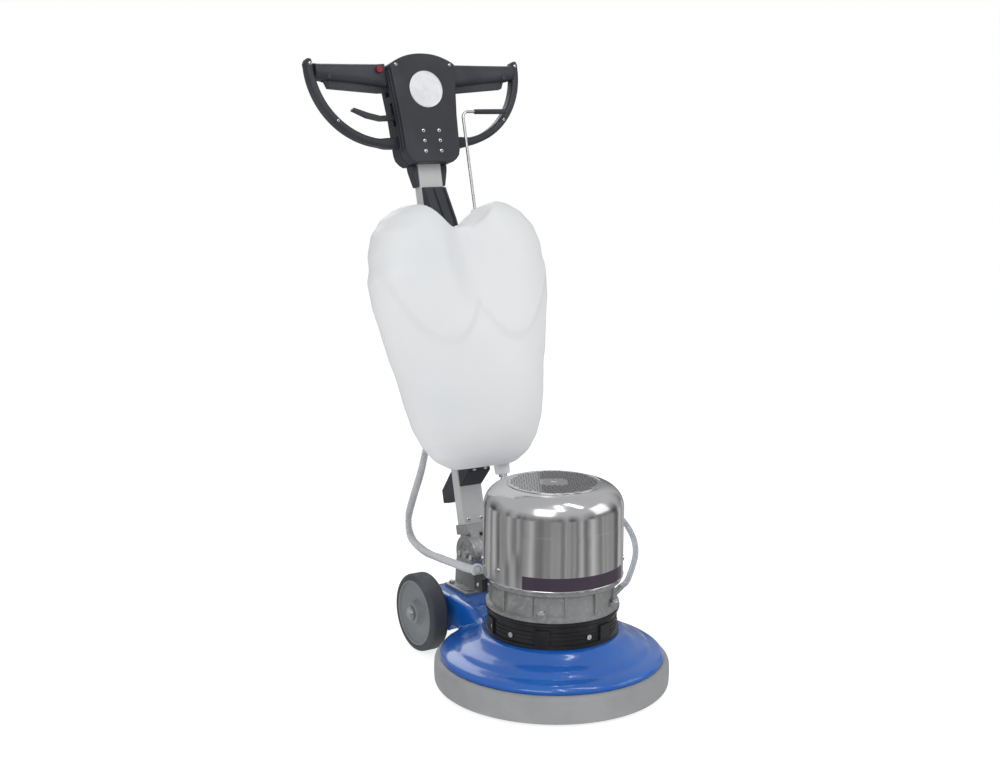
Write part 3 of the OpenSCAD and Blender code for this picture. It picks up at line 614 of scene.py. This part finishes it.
# ---------- handle ----------
def head_outline(inset):
    """The head's outline with a smoothly arched top, moved in by inset."""
    side = [(44, 803), (52, 808), (60, 817), (63, 828), (66, 900), (74, 985), (75.5, 1000)]
    side = [(x - inset, u + (inset if u < 830 else 0)) for x, u in side]
    crown = []
    for k in range(13):
        x = (74.5 - inset) * (1 - k / 12)
        crown.append((x, 1029 - inset - 22 * (x / 75) ** 2.2))
    half = side + crown
    return half + [(-x, u) for x, u in reversed(half[:-1])]


def head_shells():
    """The two half shells, with the pockets that the post, the lever and the triggers come in by."""
    for name, node, y0, y1 in (("front", "head_front", HEAD_FRONT, 8.7), ("rear", "head_rear", 9.3, 40)):
        o = prism(f"head_shell_{name}", head_outline(0), y0, y1, POST)
        cut(o, block("post_room", (-28, 4.2, 790), (28, 32.4, 897), POST))
        cut(o, block("lever_room", (-95, 1.5, 884), (45, 16.5, 932), POST))
        for s in (1, -1):
            cut(o, block("trigger_room", (min(s * 40, s * 95), 10.5, 946),
                         (max(s * 40, s * 95), 25.5, 988), POST))
        smooth(o, 30)
        piece(bevel(o, 4.5, 4, 50), "handle", "black_plastic", [node])


def screw_head(name, at, r, height, place=POST):
    """A domed head facing forward, with a near-black hexagon on top as painted shade of its socket."""
    turn = place @ Matrix.Translation(Vector(at) * MM) @ Matrix.Rotation(math.pi / 2, 4, "X")
    dome = [(0, -1), (r, -1), (r, height * 0.35)]
    dome += [(r * math.cos(math.radians(t)), height * (0.35 + 0.65 * math.sin(math.radians(t))))
             for t in (20, 40, 60, 75)] + [(0, height)]
    piece(lathe(name, dome, turn, 40), "handle", "zinc_fasteners")
    # painted shade: the socket is not cut, a near-black hexagon on the dome stands for its recess
    socket = loft(name + "_socket", [[(a, b, z) for a, b in circle(r * 0.42, 6)]
                                     for z in (0, height + 0.12)], turn)
    piece(socket, "handle", "zinc_fasteners", material="painted_shade_black")


def head_details():
    """Ribs down the head's sides, the badge's rim and the screws."""
    for s, side in ((1, "left"), (-1, "right")):
        for k, y in enumerate((-11, -1)):
            path = [(s * (x + 0.2), y, u) for x, u in ((63, 830), (66, 900), (74, 985), (75, 996))]
            piece(sweep(f"head_rib_{side}_{k + 1}", path, lambda t: rounded(2.6, 2.6, 2.2, 3), POST),
                  "handle", "black_plastic")
        spots = [(s * 18.3, HEAD_FRONT, u, 4) for u in (825.5, 847, 868)]
        spots += [(s * 63, HEAD_FRONT, 1005, 3.6), (s * 241, GRIP_Y - 12.6, 1012, 3.6),
                  (s * 195, GRIP_Y - 13, 896, 3.2)]
        for k, (x, y, u, r) in enumerate(spots):
            screw_head(f"screw_{side}_{k + 1}", (x, y, u), r, 1.9)
        screw_head(f"post_bolt_{side}", (s * 15, 4.6, 68), 4.5, 2.6)
        for end, y in (("front", -0.6), ("back", 36.6)):
            low, high = sorted((y, y + math.copysign(1.6, 18 - y)))
            cap = rod(f"trigger_pin_{side}_{end}", (s * 205, low, 985), (s * 205, high, 985), 4, POST)
            piece(cap, "handle", "zinc_fasteners", material="black_plastic")
    pin = rod("lever_pin", (22, -17, 901), (22, 37, 901), 3.9, POST)
    piece(pin, "handle", "zinc_fasteners", ["handle_screws"])
    badge = POST @ Matrix.Translation((0, HEAD_FRONT * MM, 0.954)) @ Matrix.Rotation(math.pi / 2, 4, "X")
    face = [(0, 0.2), (38, 0.2), (38, 1.4), (36.8, 2.0), (36, 1.7), (34, 1.9), (0, 2.6)]
    piece(lathe("badge_face", face, badge, 96), "handle", "label_silver", ["badge_disc"])


def water_rod():
    """The bent steel rod with its black sleeve, and the rubber plunger at its foot inside the tank."""
    foot, knee = (34, -72, 183), (34, -72, 212)
    bend = [(x, -7, u) for x, u in arc(100, 898, 12, 180, 90, 8)]
    path = [foot, knee, (88, -7, 300), (88, -7, 600), *bend, (192, -7, 910)]
    o = sweep("water_rod_bar", path, lambda t: circle(3, 24), POST, across=Vector((0.2, 1, 0.1)), angle=50)
    piece(o, "water_rod", "machined_steel", ["water_rod"])
    sleeve = Matrix.Translation((0.117, -0.007, 0.910)) @ Matrix.Rotation(math.pi / 2, 4, "Y")
    shape = [(3.05, 0)] + arc(4, 1.2, 1.2, 270, 360, 4) + [(5.4, 40)] + arc(3.6, 75, 1.8, 0, 90, 5)
    shape += [(0.1, 77), (0.1, 75.6), (3.05, 75.6)]
    piece(lathe("water_rod_sleeve", shape, POST @ sleeve, 40), "water_rod", "black_plastic")
    plunger = POST @ Matrix.Translation((0.034, -0.072, 0.1766))
    shape = [(0, 0), (10.5, 0), (12, 1.5), (12, 5), (8, 7), (0, 7)]
    piece(lathe("water_rod_plunger", shape, plunger, 40), "water_rod", "black_plastic")


def drain():
    """The moulded boss under the tank and its metal spout."""
    at = POST @ Matrix.Translation((0.034, -0.072, 0))
    boss = [(8, 152), (13, 152), (15, 154), (16, 172), (8, 172)]
    piece(lathe("drain_boss", boss, at, 56), "handle", "tank_plastic", ["drain_valve"])
    spout = [(3, 138), (5.6, 138), (6.2, 139), (5.4, 140.4), (6.2, 142), (5.4, 144), (5.4, 146), (8.6, 146.4),
             (8.6, 152), (3, 152)]
    piece(lathe("drain_spout", spout, at, 48), "handle", "zinc_fasteners")


def grip(s, side):
    """A rounded hand grip with a slot under it for the switch trigger."""
    rings = []
    stations = [(77.5, 966, 6), (90, 967.5, 11), (150, 974, 13), (215, 979.5, 13), (226, 982, 12),
                (232, 984, 10)]
    for x, low, r in stations:
        mid, half = (1013 + low) / 2, (1013 - low) / 2
        rings.append([(s * x, GRIP_Y + a, mid + b) for a, b in rounded(18, half, r)])
    o = loft(f"{side}_grip_shell", rings, POST)
    cut(o, block("slot", (min(s * 72, s * 216), 10.5, 940), (max(s * 72, s * 216), 25.5, 990), POST))
    if side == "right":
        cut(o, rod("well", (-93, -8, 999), (-93, 22, 999), 7.4, POST))
    piece(bevel(smooth(o, 30), 1.2), "handle", "black_plastic", [f"{side}_grip"])


def bow(s, side):
    """The outer bow: from the horn at the grip's end round to the head."""
    top = [(s * 241, GRIP_Y, 1022), (s * 242, GRIP_Y, 1015)]
    ring = [(s * x, GRIP_Y, u) for x, u in arc(84, 1007, 157, 0, -90, 40)]
    path = top + ring + [(s * 74, GRIP_Y, 850), (s * 62, GRIP_Y, 850)]

    def section(t):
        small = 0.55 + 0.45 * ease(t / 9)
        root = 1 + 0.35 * ease((t - 235) / 25)
        return rounded(8 * small * root, 13 * (0.8 + 0.2 * small), 6 * small)

    o = sweep(f"{side}_bow_bar", path, section, POST, across=Vector((0, 1, 0)))
    piece(o, "handle", "black_plastic", [f"{side}_bow"])


def bracket_details():
    """The upper wedge bracket's raised edges and centre rib, and the lower bracket's two bolts."""
    front = [(665, -6), (668, -34), (682, -30), (752, -3)]
    for name, x in (("left", 23), ("right", -23), ("middle", 0)):
        path = [(x, y - 1.2, u) for u, y in front[1:]]
        piece(sweep(f"bracket_rib_{name}", path, lambda t: rounded(2.6, 2.6, 1.2, 3), POST), "handle",
              "black_plastic")
    for s, side in ((1, "left"), (-1, "right")):
        piece(bevel(loft(f"bracket_bolt_{side}",
                         [[(s * 13 + a, -40 - d, 167.8 + b * 0.5) for a, b in circle(4.5, 6)]
                          for d in (-1, 2.5)], POST), 0.5), "handle", "zinc_fasteners")
        piece(sweep(f"post_edge_{side}", [(s * 25.2, 3.9, 178), (s * 25.2, 3.9, 660)],
                    lambda t: rounded(0.9, 1.4, 0.6, 3), POST), "handle", "post_paint")


# ---------- tank ----------
STATIONS = [(172, 76), (200, 106), (230, 127), (270, 144), (320, 156), (360, 163), (410, 177), (460, 187),
            (510, 198), (560, 202), (588, 194), (612, 194), (650, 183), (680, 160), (700, 130), (706, 112)]
TANK_LOW, TANK_HIGH = STATIONS[0][0], STATIONS[-1][0]
TANK_MID, HALF_DEPTH, TANK_POWER = -58, 84, 0.87
CHANNEL_X, CHANNEL_Y = 33, -3
DIP_HALF = 102


def half_width(u):
    for (u0, w0), (u1, w1) in zip(STATIONS, STATIONS[1:]):
        if u <= u1:
            t = (u - u0) / (u1 - u0)
            return w0 + (w1 - w0) * (ease(t) * 0.4 + t * 0.6)
    return STATIONS[-1][1]


def fullness(u):
    foot, crown = min(1, (u - TANK_LOW) / 90), min(1, (TANK_HIGH - u) / 110)
    return (0.72 + 0.28 * math.sin(math.pi / 2 * foot)) * (0.5 + 0.5 * math.sqrt(1 - (1 - crown) ** 2))


def lobe_edge(x):
    """Height of the raised lobes' lower edge, by distance from the middle: a round bottom under each."""
    middle, low = 75, 424
    rise_in, rise_out = 0.0135, 0.0105
    return low + (rise_in if x < middle else rise_out) * (x - middle) ** 2


def relief(x, u):
    """How far the front skin lies behind the section's full depth."""
    step, valley_depth = 9, 46
    below = 1 - ease((u - lobe_edge(abs(x)) + 10) / 24)
    valley = valley_depth * ease((u - 425) / 200) * math.exp(-((x / 50) ** 2))
    return step * below * (0.35 + 0.65 * ease((u - 290) / 160)) + valley


def foot_round(u):
    """How far the skin pulls in near the tank's flat foot."""
    height, depth = 34, 16
    t = min(1.0, max(0.0, (TANK_LOW + height - u) / height))
    return depth * (1 - math.sqrt(1 - t * t))


def dip_height(x):
    return 657 + 54 * ease((abs(x) - 18) / (DIP_HALF - 18))


def tank_ring(u, rows):
    w, d = half_width(u) - foot_round(u), HALF_DEPTH * fullness(u) - foot_round(u)
    edge = math.asin(((CHANNEL_X + 6) / w) ** (1 / TANK_POWER))
    ring = []
    for k in range(rows + 1):
        a = math.pi / 2 - edge - (2 * math.pi - 2 * edge) * k / rows
        x = w * math.copysign(abs(math.cos(a)) ** TANK_POWER, math.cos(a))
        y = d * math.copysign(abs(math.sin(a)) ** TANK_POWER, math.sin(a))
        if y < 0:
            y += relief(x, u) * min(1.0, (-y / d) * 1.4)
        ring.append((x, TANK_MID + y, u))
    back = TANK_MID + d - 8
    floor = min(CHANNEL_Y, back - 1)
    return ring + [(-CHANNEL_X, back, u), (-CHANNEL_X, floor, u), (CHANNEL_X, floor, u),
                   (CHANNEL_X, back, u)]


def tank():
    """Blow-moulded tank: two lobes over a slimmer body, a valley between them, and a neck behind."""
    step, rows = 4, 150
    heights = [TANK_LOW + step * i for i in range(int((TANK_HIGH - TANK_LOW) / step) + 1)] + [TANK_HIGH]
    o = loft("tank_skin", [tank_ring(u, rows) for u in heights], POST)
    xs = [DIP_HALF * k / 10 for k in range(-10, 11)]
    over = [(x, dip_height(x)) for x in xs] + [(DIP_HALF + 60, 800), (-DIP_HALF - 60, 800)]
    cut(o, prism("over", over, -250, 80, POST))
    cut(o, block("behind", (-250, 3, 100), (250, 103, 323), POST))
    lean = Matrix.Translation(Vector((-95, 8, 655)) * MM) @ Matrix.Rotation(math.radians(-50), 4, "X")
    neck = POST @ lean
    cut(o, rod("neck", (0, 0, -20), (0, 0, 32), 22, neck, 48), "UNION")
    m = o.modifiers.new("remesh", "REMESH")
    m.mode, m.voxel_size = "VOXEL", 0.003
    soft = o.modifiers.new("soften", "SMOOTH")
    soft.factor, soft.iterations = 0.5, 14
    bake(o)
    cut(o, rod("bore", (0, 0, -26), (0, 0, 40), 18, neck, 48))
    cut(o, rod("rod_hole", (88, -7, 640), (88, -7, 760), 3.8, POST, 24))
    piece(smooth(o, 50), "handle", "tank_plastic", ["tank"])
    piece(lathe("neck_thread", [(21.6, 8), (23, 9.5), (21.6, 11), (21.6, 14), (23, 15.5), (21.6, 17)],
                neck, 64), "handle", "tank_plastic")
    grommet = POST @ Matrix.Translation((0.088, -0.007, 0.699))
    piece(lathe("rod_grommet", [(3.5, -1), (9, -1), (8.4, 3), (5.2, 5), (3.5, 5)], grommet, 40), "handle",
          "tank_plastic")


# ---------- studio ----------
def area(name, at, towards, size, energy, size_y=None):
    light = bpy.data.lights.new(name, "AREA")
    light.shape, light.size, light.size_y = "RECTANGLE", size, size_y or size
    light.energy = energy
    o = bpy.data.objects.new(name, light)
    o.location = at
    o.rotation_euler = (Vector(towards) - Vector(at)).to_track_quat("-Z", "Y").to_euler()
    bpy.context.scene.collection.objects.link(o)


def bands_round(tree, vector, scale, dark, light):
    """Grey bands that change with the bearing from the machine, as the walls of a room would."""
    split = tree.nodes.new("ShaderNodeSeparateXYZ")
    tree.links.new(vector, split.inputs[0])
    turn = tree.nodes.new("ShaderNodeMath")
    turn.operation = "ARCTAN2"
    tree.links.new(split.outputs["Y"], turn.inputs[0])
    tree.links.new(split.outputs["X"], turn.inputs[1])
    noise = tree.nodes.new("ShaderNodeTexNoise")
    noise.noise_dimensions = "1D"
    noise.inputs["Scale"].default_value = scale
    noise.inputs["Detail"].default_value = 3
    tree.links.new(turn.outputs[0], noise.inputs["W"])
    ramp = tree.nodes.new("ShaderNodeValToRGB")
    low, high = ramp.color_ramp.elements
    low.position, low.color = 0.38, (dark, dark, dark * 1.05, 1)
    high.position, high.color = 0.64, (light, light, light, 1)
    tree.links.new(noise.outputs["Fac"], ramp.inputs["Fac"])
    return ramp.outputs["Color"], split.outputs["Z"]


def studio():
    """Plain pale floor, soft lights and a room that polished metal can reflect in bands."""
    scene = bpy.context.scene
    scene.view_settings.view_transform = "Standard"
    world = bpy.data.worlds.new("studio")
    scene.world = world
    world.use_nodes = True
    tree = world.node_tree
    sky = tree.nodes["Background"]
    sky.inputs["Strength"].default_value = 0.62
    seen = tree.nodes.new("ShaderNodeBackground")
    seen.inputs["Color"].default_value = (1, 1, 1, 1)
    at = tree.nodes.new("ShaderNodeTexCoord")
    walls, height = bands_round(tree, at.outputs["Generated"], 2.6, 0.10, 0.75)
    rise = tree.nodes.new("ShaderNodeMapRange")
    rise.inputs["From Min"].default_value, rise.inputs["From Max"].default_value = 0.08, 0.5
    tree.links.new(height, rise.inputs["Value"])
    mix = tree.nodes.new("ShaderNodeMix")
    mix.data_type = "RGBA"
    colours = [s for s in mix.inputs if s.type == "RGBA"]
    tree.links.new(rise.outputs["Result"], mix.inputs["Factor"])
    tree.links.new(walls, colours[0])
    colours[1].default_value = (0.95, 0.96, 0.98, 1)
    tree.links.new([s for s in mix.outputs if s.type == "RGBA"][0], sky.inputs["Color"])
    path = tree.nodes.new("ShaderNodeLightPath")
    choose = tree.nodes.new("ShaderNodeMixShader")
    tree.links.new(path.outputs["Is Camera Ray"], choose.inputs["Fac"])
    tree.links.new(sky.outputs[0], choose.inputs[1])
    tree.links.new(seen.outputs[0], choose.inputs[2])
    tree.links.new(choose.outputs[0], tree.nodes["World Output"].inputs["Surface"])

    paper = Finish("floor_paper", (0.42, 0.42, 0.42), 0.8, Specular_IOR_Level=0.0,
                   Emission_Color=(1, 1, 1, 1), Emission_Strength=0.78)
    tree = paper.tree
    mirrored = tree.nodes.new("ShaderNodeEmission")
    shown, _ = bands_round(tree, paper.at, 3.4, 0.10, 0.62)
    tree.links.new(shown, mirrored.inputs["Color"])
    path = tree.nodes.new("ShaderNodeLightPath")
    choose = tree.nodes.new("ShaderNodeMixShader")
    tree.links.new(path.outputs["Is Glossy Ray"], choose.inputs["Fac"])
    tree.links.new(paper.shader.outputs[0], choose.inputs[1])
    tree.links.new(mirrored.outputs[0], choose.inputs[2])
    tree.links.new(choose.outputs[0], tree.nodes["Material Output"].inputs["Surface"])
    floor = solid("floor", [(-9000, -9000, 0), (9000, -9000, 0), (9000, 9000, 0), (-9000, 9000, 0)],
                  [(0, 1, 2, 3)])
    floor.data.materials.append(paper.mat)
    middle = (0, 0.1, 0.45)
    area("key", (-2.6, -2.2, 3.0), middle, 2.2, 34)
    area("fill", (2.8, -2.0, 2.0), middle, 2.0, 12)
    area("back", (0.5, 3.2, 2.6), middle, 2.4, 30)
    area("strip_1", (-0.5, -1.6, 3.2), middle, 0.25, 9, 1.6)
    area("strip_2", (0.7, -1.3, 3.2), middle, 0.25, 9, 1.6)


CAMERA_AT = (-1.5914, -2.3616, 1.1275)  # metres
CAMERA_TURN = (-31.912, 11.088, 0.407)  # yaw, pitch down and roll in degrees
FILM_WIDTH, LENS = 36, 56.16  # millimetres


def camera():
    """The view of the machine from its front right, a little above its middle."""
    yaw, pitch, roll = (math.radians(a) for a in CAMERA_TURN)
    forward = Vector((-math.sin(yaw) * math.cos(pitch), math.cos(yaw) * math.cos(pitch), -math.sin(pitch)))
    level = Vector((math.cos(yaw), math.sin(yaw), 0))
    rise = level.cross(forward)
    right = level * math.cos(roll) + rise * math.sin(roll)
    up = rise * math.cos(roll) - level * math.sin(roll)
    data = bpy.data.cameras.new("camera")
    data.sensor_fit, data.sensor_width, data.lens = "HORIZONTAL", FILM_WIDTH, LENS
    o = bpy.data.objects.new("camera", data)
    o.matrix_world = Matrix.Translation(CAMERA_AT) @ Matrix(
        (right, up, -forward)).transposed().to_4x4()
    bpy.context.scene.collection.objects.link(o)
    bpy.context.scene.camera = o


camera()
studio()
dress_nodes()
deck()
bumper()
cowl()
grille()
paint_reflection_band()
casing_details()
terminal()
mounts_details()
wheels()
lines()
head_shells()
head_details()
water_rod()
drain()
for sign, hand in ((1, "left"), (-1, "right")):
    grip(sign, hand)
    bow(sign, hand)
bracket_details()
tank()
